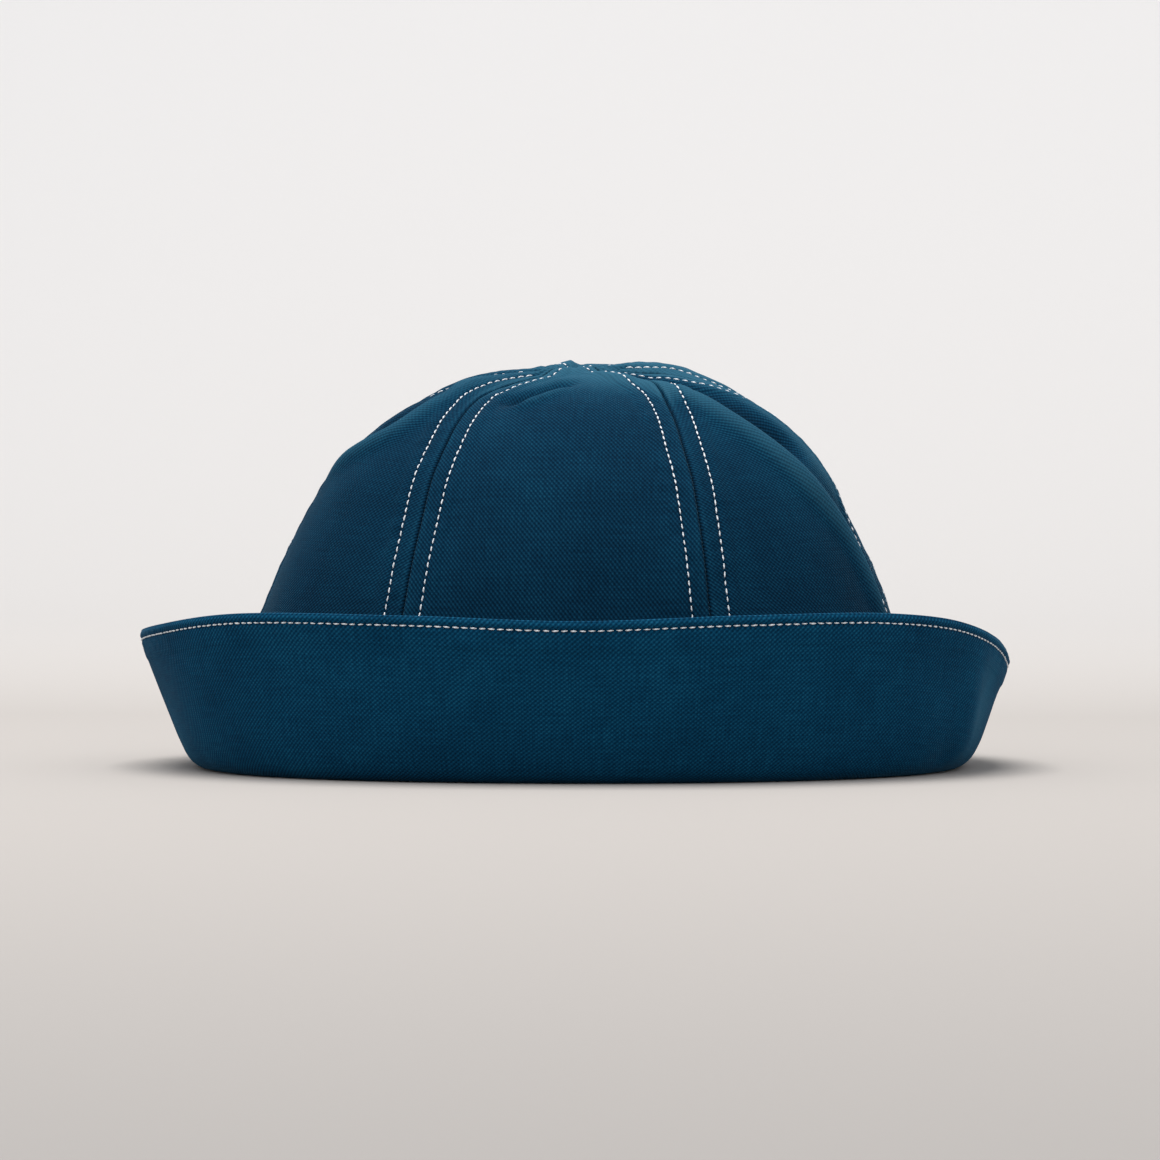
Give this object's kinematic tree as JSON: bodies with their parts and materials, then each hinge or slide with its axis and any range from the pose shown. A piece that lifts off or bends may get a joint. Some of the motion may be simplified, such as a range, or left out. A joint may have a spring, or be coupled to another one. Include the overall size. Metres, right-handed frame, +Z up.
{
  "type": "sailor cap",
  "caption": "Soft round cap of navy cotton twill, with sewn gores that meet at the top of the crown and a deep stitched brim turned up all round.",
  "frame": {"origin": "under the middle of the cap, on the surface that its turned brim stands on", "axes": "+Z up through the crown; -Y towards the front of the cap; +X towards the wearer's left, which is to the right when the cap is seen from the front"},
  "size_m": [0.2288, 0.208, 0.1055],
  "materials": {
    "crown_twill": "deep teal-navy cotton twill, matt, with a soft nap",
    "brim_twill": "deep teal-navy cotton twill, matt, with a soft nap",
    "topstitch_thread": "off-white spun thread, matt"
  },
  "bodies": {
    "root": {"crown_front": "crown_twill", "crown_front_right": "crown_twill", "crown_back_right": "crown_twill", "crown_back": "crown_twill", "crown_back_left": "crown_twill", "crown_front_left": "crown_twill", "brim_outer": "brim_twill", "brim_facing": "brim_twill"}
  },
  "joints": []
}
